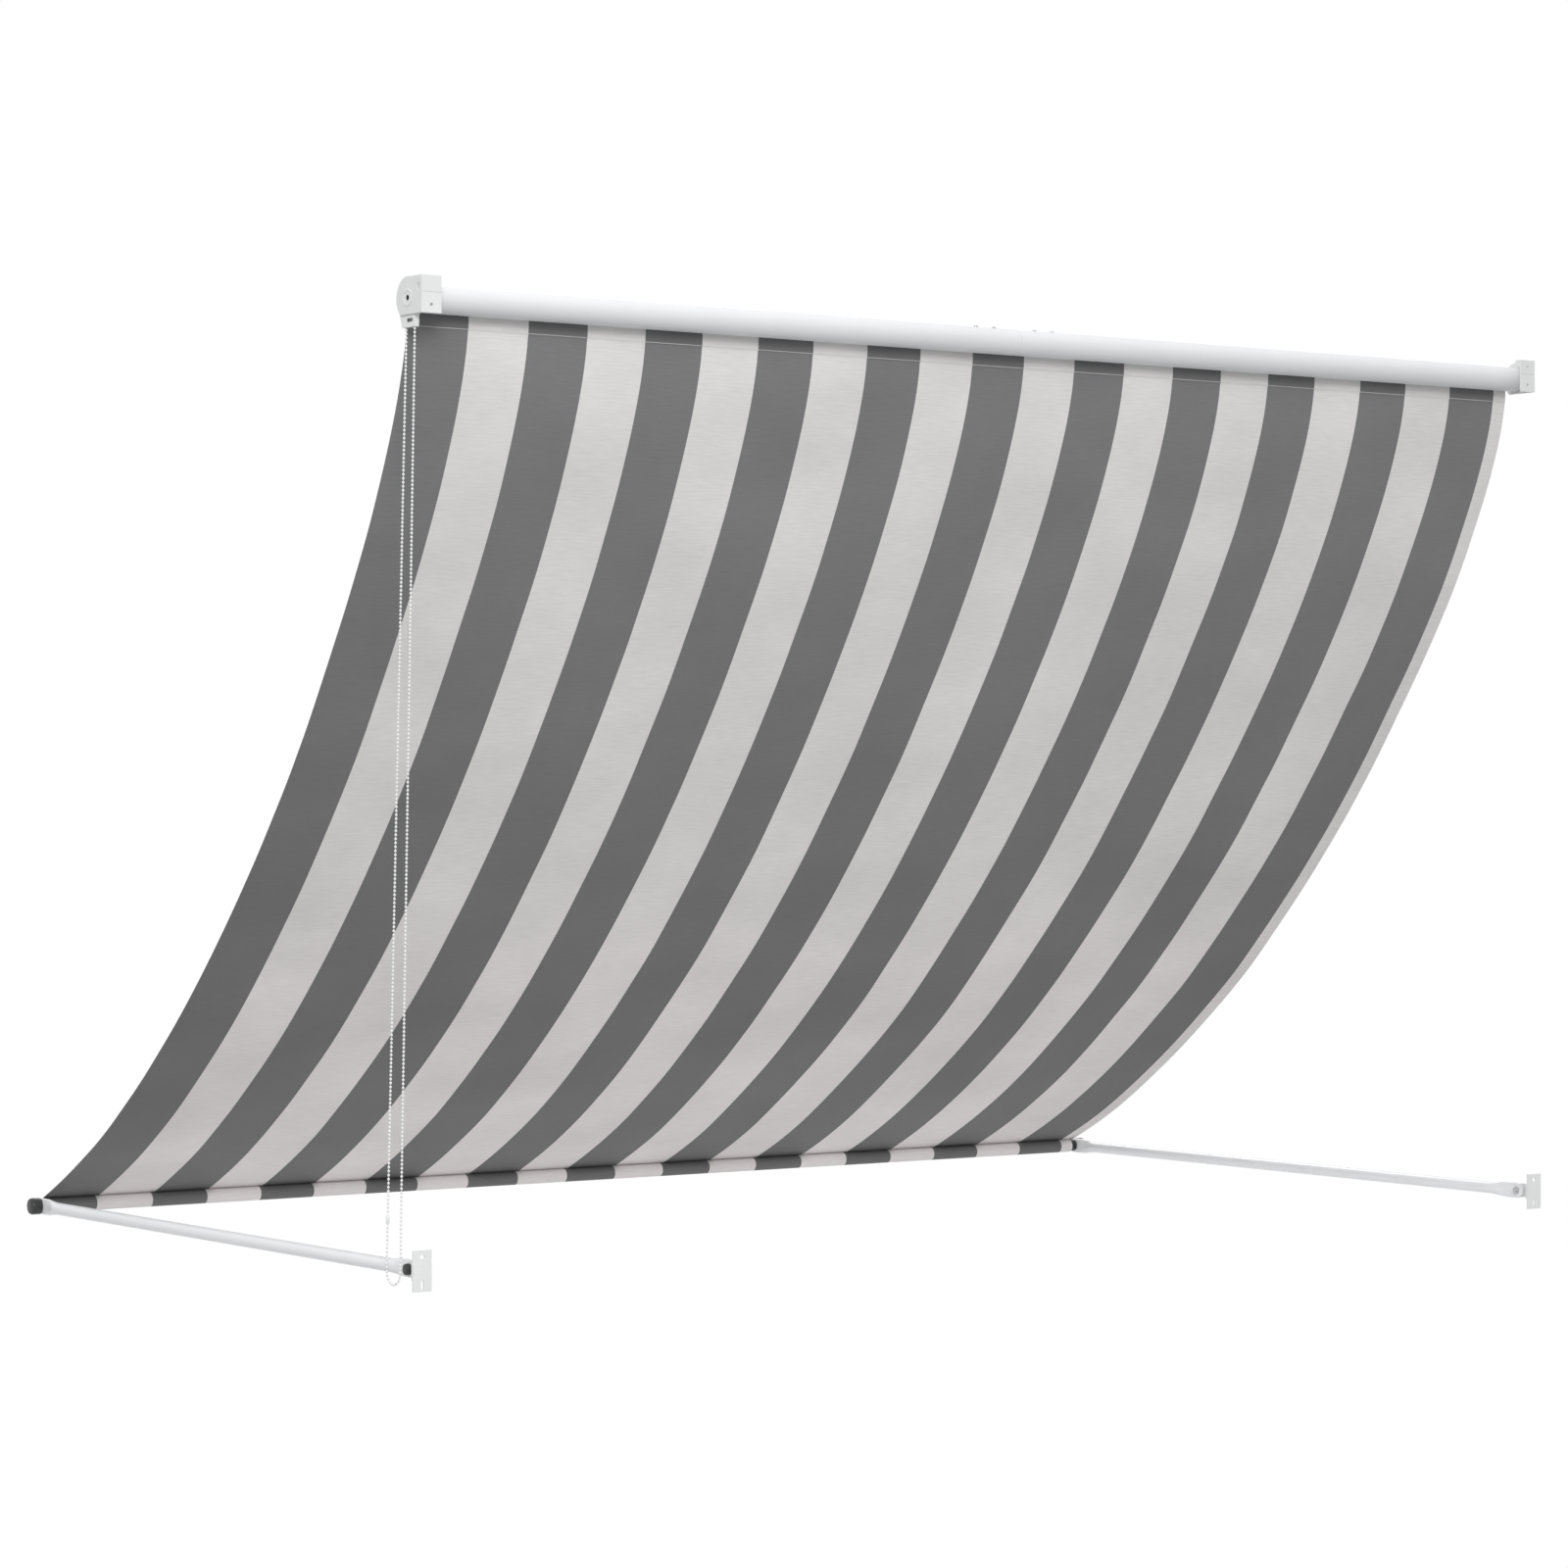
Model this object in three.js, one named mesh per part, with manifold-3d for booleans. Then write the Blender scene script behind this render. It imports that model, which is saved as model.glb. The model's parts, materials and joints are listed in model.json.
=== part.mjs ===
// A drop-arm window awning: a striped cloth runs from a roller under the window head
// to a front bar, which two arms hold out over the street.
//
// Millimetres, +Z up. The wall is the plane y = 0 and the street lies towards -Y.
// The origin is the centre of the wall face of the roller bracket at the chain end,
// and the awning runs from there towards -X.
import * as THREE from 'three';
import { mergeVertices } from 'three/addons/utils/BufferGeometryUtils.js';
import Module from 'manifold-3d';

const wasm = await Module();
wasm.setup();

// Driving dimensions of the whole awning
const awningWidth = 2500; // over the outer faces of the two roller brackets
const armLength = 1360; // pivot bolt to front bar
const rollerHeight = 1573; // roller axis above the arm pivots
const rollerOut = 45; // roller axis from the wall
const pivotOut = 38; // arm pivots from the wall

const gap = 0.3; // between pieces that touch
const runningGap = 0.8; // between a turning end and what stands still

// Roller brackets
const bracketWidth = 37.5;
const bracketPlate = 2.5; // end plate
const bracketFlange = 3; // wall flange
const bracketBelow = 27; // below the roller axis
const bracketAbove = 34; // above the roller axis
const bracketNose = 35; // radius of the end plate round the roller
const bracketWeb = 3.5;
const bracketWebOut = 14;
const journalBore = 5;
const ringOuter = 14;
const ringInner = 11;
const ringProud = 0.8;
const sightSlot = { out: 10.2, above: 15.2, depth: 7.6, height: 12.6 };
const flangeGroove = { above: 6, height: 2, depth: 0.6 };
const ribGroove = { first: 5, pitch: 4, width: 1.2, depth: 0.6, count: 2 };
const wallScrew = { radius: 2.75, inset: 19, lower: -13.5, upper: 21 };

// Roller tube, made in two halves
const tubeRadius = 23;
const tubeWall = 1.2;
const tubeIdleGap = 7; // tube end to the idle end plate
const joinerLength = 240;
const joinerWall = 1.5;
const joinerScrewInsets = [74, 34]; // from each end of the joiner
const screwShank = 2;
const screwHead = 4;
const screwHeadHeight = 2.6;
const plugLength = 40;

// Groove that holds the cloth in the tube
const grooveAngle = THREE.MathUtils.degToRad(40); // above the street side of the roller
const grooveBore = 2.6;
const grooveWall = 1;
const grooveSlot = 2.2;
const grooveRadius = tubeRadius - grooveBore - 0.9;
const kederRadius = 2.2;

// Chain drive
const chainRadius = 2.25;
const chainWrap = 13.2; // radius of the chain's centre line round the sprocket
const sprocketFlange = 16;
const sprocketFlangeWidth = 0.95;
const guardWall = 1.2;
const guardFace = 1;
const guardDrum = 34;
const guardBore = 24; // opening towards the end plate
const guardDrop = 47.5; // lower edge below the roller axis
const guardWindow = { width: 19.5, height: 6.3, towardsWall: 3.2, below: 36.3 };
const hubRadius = 10;
const spindleReach = 1.2; // into the end plate
const spindleWall = 1; // round the blind bore in the spindle's end
const spindleBoreDepth = 22;
const connectorRadius = 3.2;

// Lower wall brackets
const lowerInset = 2; // plate centre from the outer face of the roller bracket
const plateWidth = 35;
const plateHeight = 67;
const plateThickness = 3;
const padHeight = 30;
const padThickness = 5.5;
const lugThickness = 5;
const lugRadius = 13;
const flareWidth = 18;
const flareOut = 16;
const flareHeight = 24;
const plateSlots = [
  { z: 22.5, width: 9.4, height: 6 },
  { z: -22.5, width: 5, height: 16 },
];

// Arms
const armRadius = 11.25;
const armWall = 1.2;
const flatHeight = 30;
const flatThickness = 5;
const flatLength = 28; // beyond the bolt, still flat
const flatRun = 48; // from flat to round
const washerThickness = 1;
const washerRadius = 9;

// Pivot bolts
const pivotBolt = { radius: 3.9, head: 7, headHeight: 5, nut: 7, nutHeight: 5, proud: 2 };
const pivotCap = { radius: 9.5, length: 8, round: 2.5 };

// Front bar, made in two halves
const barRadius = 12.3;
const barWall = 1.2;
const barJoinerLength = 200;
const spacerRadius = 11.5;
const spacerLength = 14;
const spigotLength = 26;
const barBolt = { radius: 2.9, head: 5.6, headHeight: 4, length: 32 };
const barCap = { radius: 15.5, length: 20, round: 5 };
const boltClearance = 0.3;

// Cloth
const clothInset = { chain: 0.6, idle: 4 }; // from the ends of the roller tube
const clothThickness = 1;
const stripeCount = 21;
const edgeStrip = 32.4; // narrow strip at the idle end
const sleeveInset = 12; // sleeve ends inside the sheet's edges
const sleeveClearance = 0.4;
const leaveAngle = THREE.MathUtils.degToRad(8); // past the street side of the roller
const rollerPull = 217; // how far the curve keeps its direction from the roller
const barPull = 867; // and from the bar
const barSlope = THREE.MathUtils.degToRad(24);

// Places that follow from the sizes above
const rollerZ = (bracketBelow - bracketAbove) / 2;
const pivotZ = rollerZ - rollerHeight;
const chainFace = bracketWidth / 2;
const idleFace = chainFace - awningWidth;
const guardStart = chainFace - bracketPlate - gap;
const chainPlane = guardStart - sprocketFlangeWidth - gap - chainRadius - gap;
const sprocketHalf = chainRadius + gap + sprocketFlangeWidth;
const guardEnd = chainPlane - sprocketHalf - gap - guardWall;
const tubeStart = guardEnd - runningGap;
const tubeEnd = idleFace + bracketPlate + tubeIdleGap;
const tubeJoint = (tubeStart + tubeEnd) / 2;
const boreRadius = tubeRadius - tubeWall;
const plugRadius = boreRadius - gap;
const chainPlateX = chainFace - lowerInset;
const idlePlateX = idleFace + lowerInset;
const armOffset = (lugThickness + flatThickness) / 2 + washerThickness + 2 * gap;
const chainArmX = chainPlateX - armOffset;
const idleArmX = idlePlateX + armOffset;
const barStart = chainArmX - flatThickness / 2 - gap;
const barEnd = idleArmX + flatThickness / 2 + gap;
const barMiddle = (barStart + barEnd) / 2;
const barY = -armLength;
const clothStart = tubeStart - clothInset.chain;
const clothEnd = tubeEnd + clothInset.idle;
const sleeveStart = clothStart - sleeveInset;
const sleeveEnd = clothEnd + sleeveInset;

// Finishes
const finish = (color, roughness, metalness = 0) =>
  new THREE.MeshStandardMaterial({ color, roughness, metalness });
const whitePaint = () => finish(0xf0f2f2, 0.38, 0.05);
const whiteCast = () => finish(0xe9ebea, 0.5);
const whitePlastic = () => finish(0xf2f3f2, 0.42);
const blackPlastic = () => finish(0x262827, 0.5);
const greyPlastic = () => finish(0x9b9e9f, 0.6);
const zincSteel = () => finish(0xc9cccd, 0.35, 0.9);
const darkStripe = new THREE.Color(0x747579);
const lightStripe = new THREE.Color(0xd8d3d1);

// Solids

function solid(geometry) {
  const bare = geometry.clone();
  bare.deleteAttribute('normal');
  bare.deleteAttribute('uv');
  const merged = mergeVertices(bare, 1e-4);
  return new wasm.Manifold(
    new wasm.Mesh({
      numProp: 3,
      vertProperties: merged.attributes.position.array,
      triVerts: new Uint32Array(merged.index.array),
    }),
  );
}

function geometryOf(manifold) {
  const { vertProperties, triVerts } = manifold.getMesh();
  const shared = new THREE.BufferGeometry();
  shared.setAttribute('position', new THREE.BufferAttribute(vertProperties, 3));
  shared.setIndex(new THREE.BufferAttribute(triVerts, 1));
  const flat = shared.toNonIndexed();
  flat.computeVertexNormals();
  return flat;
}

const addAll = (first, ...others) => others.reduce((sum, next) => sum.add(next), first);
const cutAll = (first, ...tools) => tools.reduce((rest, tool) => rest.subtract(tool), first);

// A shape drawn in (y, z), pushed along X from x0 to x1
function extrudeX(shape, x0, x1, curveSegments = 12) {
  const geometry = new THREE.ExtrudeGeometry(shape, {
    depth: x1 - x0,
    bevelEnabled: false,
    curveSegments,
  });
  const turn = new THREE.Matrix4().makeBasis(
    new THREE.Vector3(0, 1, 0),
    new THREE.Vector3(0, 0, 1),
    new THREE.Vector3(1, 0, 0),
  );
  return geometry.applyMatrix4(turn).translate(x0, 0, 0);
}

// A shape drawn in (x, z), pushed away from the wall from y0 by a depth
function extrudeOut(shape, y0, depth, curveSegments = 8) {
  const geometry = new THREE.ExtrudeGeometry(shape, {
    depth,
    bevelEnabled: false,
    curveSegments,
  });
  const turn = new THREE.Matrix4().makeBasis(
    new THREE.Vector3(1, 0, 0),
    new THREE.Vector3(0, 0, 1),
    new THREE.Vector3(0, -1, 0),
  );
  return geometry.applyMatrix4(turn).translate(0, y0, 0);
}

function box(x0, x1, y0, y1, z0, z1) {
  const geometry = new THREE.BoxGeometry(x1 - x0, y1 - y0, z1 - z0);
  return geometry.translate((x0 + x1) / 2, (y0 + y1) / 2, (z0 + z1) / 2);
}

function rod(radius, x0, x1, y = 0, z = 0, sides = 24) {
  const geometry = new THREE.CylinderGeometry(radius, radius, x1 - x0, sides);
  return geometry.rotateZ(-Math.PI / 2).translate((x0 + x1) / 2, y, z);
}

// A profile of [radius, x] points turned round the X axis
function turned(profile, sides = 32) {
  const points = profile.map(([radius, x]) => new THREE.Vector2(radius, x));
  return new THREE.LatheGeometry(points, sides).rotateZ(-Math.PI / 2);
}

function roundedSlot(width, height, x = 0, z = 0) {
  const radius = Math.min(width, height) / 2;
  const dx = width / 2 - radius;
  const dz = height / 2 - radius;
  const shape = new THREE.Shape();
  if (dx > dz) {
    shape.absarc(x + dx, z, radius, -Math.PI / 2, Math.PI / 2);
    shape.absarc(x - dx, z, radius, Math.PI / 2, Math.PI * 1.5);
  } else {
    shape.absarc(x, z + dz, radius, 0, Math.PI);
    shape.absarc(x, z - dz, radius, Math.PI, Math.PI * 2);
  }
  return shape;
}

function circleShape(radius) {
  const shape = new THREE.Shape();
  shape.absarc(0, 0, radius, 0, Math.PI * 2);
  return shape;
}

const polygon = (points) => new THREE.Shape(points.map(([a, b]) => new THREE.Vector2(a, b)));

function piece(name, geometry, material, group) {
  const mesh = new THREE.Mesh(geometry, material);
  mesh.name = name;
  group.add(mesh);
  return mesh;
}

const awning = new THREE.Group();
const roller = new THREE.Group();
roller.position.set(0, -rollerOut, rollerZ);
const armFrame = new THREE.Group();
armFrame.position.set(0, -pivotOut, pivotZ);
const rollerMounts = new THREE.Group();
rollerMounts.position.copy(roller.position);
const lowerMounts = new THREE.Group();
lowerMounts.position.copy(armFrame.position);
awning.add(roller, armFrame, rollerMounts, lowerMounts);

// Roller brackets: an end plate round the roller's end and a flange on the wall.
// Drawn round the roller axis; outer is the face of the end plate and inwards is the
// direction of X from there along the roller.

function endPlateShape() {
  const shape = new THREE.Shape();
  const top = Math.sqrt(bracketNose ** 2 - bracketAbove ** 2);
  const start = Math.atan2(bracketAbove, top);
  const end = Math.PI + Math.asin(bracketBelow / bracketNose);
  shape.moveTo(rollerOut, -bracketBelow);
  shape.lineTo(rollerOut, bracketAbove);
  shape.absarc(0, 0, bracketNose, start, end, false);
  return shape;
}

function rollerBracket(outer, inwards, screwHeights, ribbed) {
  const across = (a, b) => [outer + inwards * a, outer + inwards * b].sort((p, q) => p - q);
  const [px0, px1] = across(0, bracketPlate);
  const [fx0, fx1] = across(0, bracketWidth);
  const [rx0, rx1] = across(-ringProud, bracketPlate / 2);
  const wall = rollerOut;
  const slotY = wall - sightSlot.out;
  const body = addAll(
    solid(extrudeX(endPlateShape(), px0, px1, 20)),
    solid(box(fx0, fx1, wall - bracketFlange, wall, -bracketBelow, bracketAbove)),
    solid(box(fx0, fx1, wall - bracketWebOut, wall, bracketAbove - bracketWeb, bracketAbove)),
    solid(rod(ringOuter, rx0, rx1, 0, 0, 32)).subtract(solid(rod(ringInner, rx0 - 1, px0, 0, 0, 32)))
      .subtract(solid(rod(ringInner, px1, rx1 + 1, 0, 0, 32))),
  );
  const tools = [
    solid(rod(journalBore, px0 - 2, px1 + 2)),
    solid(box(
      px0 - 2, px1 + 2,
      slotY - sightSlot.depth / 2, slotY + sightSlot.depth / 2,
      sightSlot.above - sightSlot.height / 2, sightSlot.above + sightSlot.height / 2,
    )),
    solid(box(
      fx0 - 1, fx1 + 1,
      wall - flangeGroove.depth, wall + 1,
      flangeGroove.above - flangeGroove.height / 2, flangeGroove.above + flangeGroove.height / 2,
    )),
  ];
  for (const height of screwHeights) {
    const hole = extrudeOut(circleShape(wallScrew.radius), wall + 1, bracketFlange + 2);
    tools.push(solid(hole.translate(outer + inwards * wallScrew.inset, 0, height)));
  }
  if (ribbed) {
    for (let i = 0; i < ribGroove.count; i++) {
      const start = ribGroove.first + i * ribGroove.pitch;
      const [x0, x1] = across(start, start + ribGroove.width);
      tools.push(solid(box(x0, x1, wall - ribGroove.depth, wall + 1, -bracketBelow - 1, bracketAbove + 1)));
    }
  }
  return geometryOf(cutAll(body, ...tools));
}

piece('chain_bracket', rollerBracket(chainFace, -1, [wallScrew.lower], false), whiteCast(), rollerMounts);
piece(
  'idle_bracket',
  rollerBracket(idleFace, 1, [wallScrew.lower, wallScrew.upper], true),
  whiteCast(),
  rollerMounts,
);

// Chain guard: a drum round the sprocket that ends in a mouth for the chain

// Outline of the mouth, drawn round the roller axis, with its wall side on the right
function guardMouthShape(inset, floor) {
  return polygon([
    [-30 + inset, -12],
    [-29.5 + inset, -24],
    [-24.5 + inset, -38],
    [-21.3 + inset, -floor],
    [17 - inset, -floor],
    [18.6 - inset, -40],
    [18.6 - inset, -12],
  ]);
}

function chainGuard() {
  const inner = guardEnd + guardWall;
  const face = guardStart - guardFace;
  const shell = solid(rod(guardDrum, guardEnd, guardStart, 0, 0, 48))
    .add(solid(extrudeX(guardMouthShape(0, guardDrop), guardEnd, guardStart)));
  const hollow = solid(rod(guardDrum - guardWall, inner, face, 0, 0, 48))
    .add(solid(extrudeX(guardMouthShape(guardWall, guardDrop + 5), inner, face)));
  const windowShape = roundedSlot(
    guardWindow.width, guardWindow.height, guardWindow.towardsWall, -guardWindow.below,
  );
  return geometryOf(cutAll(
    shell,
    hollow,
    solid(rod(guardBore, face - 1, guardStart + 1, 0, 0, 32)),
    solid(rod(hubRadius + gap, guardEnd - 1, inner + 1)),
    solid(extrudeX(windowShape, face - 0.5, guardStart + 1, 6)),
  ));
}

piece('chain_guard', chainGuard(), whitePlastic(), rollerMounts);

// Roller: the groove for the cloth is a lobe inside the tube with a slot to the outside

const grooveY = -Math.cos(grooveAngle);
const grooveZ = Math.sin(grooveAngle);
const grooveRod = (radius, x0, x1) =>
  solid(rod(radius, x0, x1, grooveY * grooveRadius, grooveZ * grooveRadius, 16));

function grooveSlotTool(x0, x1) {
  const half = grooveSlot / 2;
  const reach = tubeRadius + 2;
  const slot = box(x0, x1, grooveRadius, reach, -half, half);
  return solid(slot.rotateX(Math.PI - grooveAngle));
}

function tubeHalf(x0, x1, screwXs) {
  const skin = solid(rod(tubeRadius, x0, x1, 0, 0, 48))
    .subtract(solid(rod(boreRadius, x0 - 1, x1 + 1, 0, 0, 48)));
  const lobe = grooveRod(grooveBore + grooveWall, x0, x1)
    .intersect(solid(rod(tubeRadius - 0.2, x0 - 1, x1 + 1, 0, 0, 48)));
  const holes = screwXs.map((x) => screwHole(x));
  return geometryOf(cutAll(
    skin.add(lobe),
    grooveRod(grooveBore, x0 - 1, x1 + 1),
    grooveSlotTool(x0 - 1, x1 + 1),
    ...holes,
  ));
}

function screwHole(x) {
  const hole = new THREE.CylinderGeometry(screwShank + gap, screwShank + gap, tubeRadius, 16);
  return solid(hole.rotateX(Math.PI / 2).translate(x, 0, tubeRadius));
}

// What fits inside the tube leaves room for the lobe
function fitTube(manifold, x0, x1) {
  const room = grooveRod(grooveBore + grooveWall + gap, x0, x1);
  return manifold.subtract(room);
}

const screwXs = joinerScrewInsets.flatMap((inset) => {
  const offset = joinerLength / 2 - inset;
  return [tubeJoint + offset, tubeJoint - offset];
});
const chainScrews = screwXs.filter((x) => x > tubeJoint);
const idleScrews = screwXs.filter((x) => x < tubeJoint);
const tubeGap = gap / 2;
piece('roller_tube_chain_half', tubeHalf(tubeJoint + tubeGap, tubeStart, chainScrews), whitePaint(), roller);
piece('roller_tube_idle_half', tubeHalf(tubeEnd, tubeJoint - tubeGap, idleScrews), whitePaint(), roller);

function tubeJoiner() {
  const x0 = tubeJoint - joinerLength / 2;
  const x1 = tubeJoint + joinerLength / 2;
  const ring = solid(rod(plugRadius, x0, x1, 0, 0, 40))
    .subtract(solid(rod(plugRadius - joinerWall, x0 - 1, x1 + 1, 0, 0, 40)));
  return geometryOf(cutAll(fitTube(ring, x0 - 1, x1 + 1), ...screwXs.map(screwHole)));
}

piece('tube_joiner', tubeJoiner(), greyPlastic(), roller);

// Pan-head screws along the top of the tube
function joinerScrew(x) {
  const shankEnd = plugRadius - joinerWall - 2;
  const headBase = tubeRadius + gap / 2;
  const headTop = headBase + screwHeadHeight;
  const profile = [
    [0, shankEnd],
    [screwShank * 0.6, shankEnd],
    [screwShank, shankEnd + 1.5],
    [screwShank, headBase],
    [screwHead, headBase],
    [screwHead, headBase + screwHeadHeight * 0.45],
    [screwHead * 0.7, headTop - 0.3],
    [0, headTop],
  ];
  const points = profile.map(([radius, z]) => new THREE.Vector2(radius, z));
  return new THREE.LatheGeometry(points, 16).rotateX(Math.PI / 2).translate(x, 0, 0);
}

screwXs.forEach((x, i) => piece(`joiner_screw_${i + 1}`, joinerScrew(x), zincSteel(), roller));

piece(
  'keder_rod',
  geometryOf(solid(rod(
    kederRadius, clothEnd, clothStart, grooveY * grooveRadius, grooveZ * grooveRadius, 12,
  ))),
  greyPlastic(),
  roller,
);

// Sprocket, hub and tube plug in one turned piece, on a short hollow spindle in the end plate
function driveSprocket() {
  const root = chainWrap - chainRadius - gap;
  const faceX = chainPlane + sprocketHalf;
  const backX = chainPlane - sprocketHalf;
  const half = chainRadius + gap;
  const spindleEnd = guardStart + gap + spindleReach;
  const plugEnd = tubeStart - plugLength;
  const profile = [
    [0, plugEnd],
    [plugRadius - 1, plugEnd],
    [plugRadius, plugEnd + 1],
    [plugRadius, tubeStart + gap],
    [hubRadius, tubeStart + gap],
    [hubRadius, backX],
    [sprocketFlange, backX],
    [sprocketFlange, backX + sprocketFlangeWidth * 0.8],
    [root, chainPlane - half * 0.9],
    [root, chainPlane + half * 0.9],
    [sprocketFlange, faceX - sprocketFlangeWidth * 0.8],
    [sprocketFlange, faceX],
    [journalBore - gap, faceX],
    [journalBore - gap, spindleEnd],
    [journalBore - gap - spindleWall, spindleEnd],
    [journalBore - gap - spindleWall, spindleEnd - spindleBoreDepth],
    [0, spindleEnd - spindleBoreDepth],
  ];
  return geometryOf(fitTube(solid(turned(profile, 40)), plugEnd - 1, tubeStart + 2 * gap));
}

piece('drive_sprocket', driveSprocket(), whitePlastic(), roller);

function idlePlug() {
  const plateX = idleFace + bracketPlate;
  const bore = journalBore - gap;
  const profile = [
    [bore + gap, plateX + gap],
    [hubRadius, plateX + gap],
    [hubRadius, tubeEnd - 2.3],
    [tubeRadius - 0.5, tubeEnd - 2.3],
    [tubeRadius - 0.5, tubeEnd - gap],
    [plugRadius, tubeEnd - gap],
    [plugRadius, tubeEnd + plugLength - 1],
    [plugRadius - 1, tubeEnd + plugLength],
    [bore + gap, tubeEnd + plugLength],
    [bore + gap, plateX + gap],
  ];
  return geometryOf(fitTube(solid(turned(profile, 40)), tubeEnd - gap, tubeEnd + plugLength + 1));
}

piece('idle_plug', idlePlug(), whitePlastic(), roller);

function idlePin() {
  const tip = idleFace + bracketPlate - spindleReach;
  const radius = journalBore - gap;
  const end = tubeEnd + plugLength - 5;
  return turned([
    [0, tip],
    [radius - 0.8, tip],
    [radius, tip + 0.8],
    [radius, end],
    [0, end],
  ], 24);
}

piece('idle_pin', idlePin(), zincSteel(), roller);

// Lower wall brackets: a slotted plate with a lug that carries the arm

function lowerBracket(x) {
  const wall = pivotOut;
  const half = plateWidth / 2;
  const lug = new THREE.Shape();
  lug.moveTo(wall - padThickness + 1, -lugRadius);
  lug.lineTo(wall - padThickness + 1, lugRadius);
  lug.absarc(0, 0, lugRadius, Math.PI / 2, Math.PI * 1.5, false);
  const flare = polygon([
    [x - flareWidth / 2, wall - padThickness + 1],
    [x - lugThickness / 2, wall - flareOut],
    [x + lugThickness / 2, wall - flareOut],
    [x + flareWidth / 2, wall - padThickness + 1],
  ]);
  const gusset = new THREE.ExtrudeGeometry(flare, { depth: flareHeight, bevelEnabled: false });
  const body = addAll(
    solid(box(x - half, x + half, wall - plateThickness, wall, -plateHeight / 2, plateHeight / 2)),
    solid(box(x - half, x + half, wall - padThickness, wall, -padHeight / 2, padHeight / 2)),
    solid(gusset.translate(0, 0, -flareHeight / 2)),
    solid(extrudeX(lug, x - lugThickness / 2, x + lugThickness / 2, 16)),
  );
  const slots = plateSlots.map(({ z, width, height }) =>
    solid(extrudeOut(roundedSlot(width, height, x, z), wall + 1, plateThickness + 2)));
  const bolt = solid(rod(pivotBolt.radius + boltClearance, x - lugThickness, x + lugThickness));
  return geometryOf(cutAll(body, bolt, ...slots));
}

// Everything on one pivot bolt: head and cap outside the lug, washer, arm and nut inside.
// inwards is the direction of X from the lug to the arm.

function pivotStack(side, x, inwards) {
  const at = (distance) => x + inwards * distance;
  const profileFrom = (list) => {
    const placed = list.map(([radius, distance]) => [radius, at(distance)]);
    return inwards > 0 ? placed : placed.reverse();
  };
  const lugHalf = lugThickness / 2;
  const washerAt = lugHalf + gap;
  const nutAt = lugHalf + washerThickness + flatThickness + 3 * gap;
  const headAt = -lugHalf - gap;
  const { radius, head, headHeight, nut, nutHeight, proud } = pivotBolt;
  const span = (a, b) => [at(a), at(b)].sort((p, q) => p - q);

  const shank = solid(rod(radius, ...span(headAt, nutAt + nutHeight + proud)));
  const hexHead = solid(rod(head, ...span(headAt, headAt - headHeight), 0, 0, 6));
  piece(`pivot_bolt_${side}`, geometryOf(shank.add(hexHead)), zincSteel(), lowerMounts);

  const washer = solid(rod(washerRadius, ...span(washerAt, washerAt + washerThickness)))
    .subtract(solid(rod(radius + boltClearance, ...span(washerAt - 1, washerAt + washerThickness + 1))));
  piece(`pivot_washer_${side}`, geometryOf(washer), greyPlastic(), lowerMounts);

  const hexNut = solid(rod(nut, ...span(nutAt, nutAt + nutHeight), 0, 0, 6))
    .subtract(solid(rod(radius + boltClearance, ...span(nutAt - 1, nutAt + nutHeight + 1))));
  piece(`pivot_nut_${side}`, geometryOf(hexNut), zincSteel(), lowerMounts);

  const outer = headAt - pivotCap.length;
  const pocket = head + gap;
  const pocketEnd = headAt - headHeight - gap;
  const cap = turned(profileFrom([
    [0, outer],
    [pivotCap.radius - pivotCap.round, outer],
    [pivotCap.radius - pivotCap.round * 0.3, outer + pivotCap.round * 0.3],
    [pivotCap.radius, outer + pivotCap.round],
    [pivotCap.radius, headAt],
    [pocket, headAt],
    [pocket, pocketEnd],
    [0, pocketEnd],
  ]), 28);
  piece(`pivot_cap_${side}`, cap, blackPlastic(), lowerMounts);
}

piece('lower_bracket_chain', lowerBracket(chainPlateX), whiteCast(), lowerMounts);
piece('lower_bracket_idle', lowerBracket(idlePlateX), whiteCast(), lowerMounts);
pivotStack('chain', chainPlateX, -1);
pivotStack('idle', idlePlateX, 1);

// Arms: a round tube pressed flat at both ends, so each end stays open as a slit

// A point at an angle on an upright slot shape with flat sides
function flatPoint(angle, halfHeight, halfThickness) {
  const straight = halfHeight - halfThickness;
  const quarter = straight + (Math.PI / 2) * halfThickness;
  const signX = Math.cos(angle) < 0 ? -1 : 1;
  const signZ = Math.sin(angle) < 0 ? -1 : 1;
  const folded = Math.atan2(Math.abs(Math.sin(angle)), Math.abs(Math.cos(angle)));
  const along = (folded / (Math.PI / 2)) * quarter;
  if (along <= straight) return [signX * halfThickness, signZ * along];
  const turn = (along - straight) / halfThickness;
  return [
    signX * halfThickness * Math.cos(turn),
    signZ * (straight + halfThickness * Math.sin(turn)),
  ];
}

// How far the tube is round at a distance from its bolt, from 0 to 1
function roundness(distance) {
  const t = THREE.MathUtils.clamp((distance - flatLength) / flatRun, 0, 1);
  return t * t * (3 - 2 * t);
}

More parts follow.
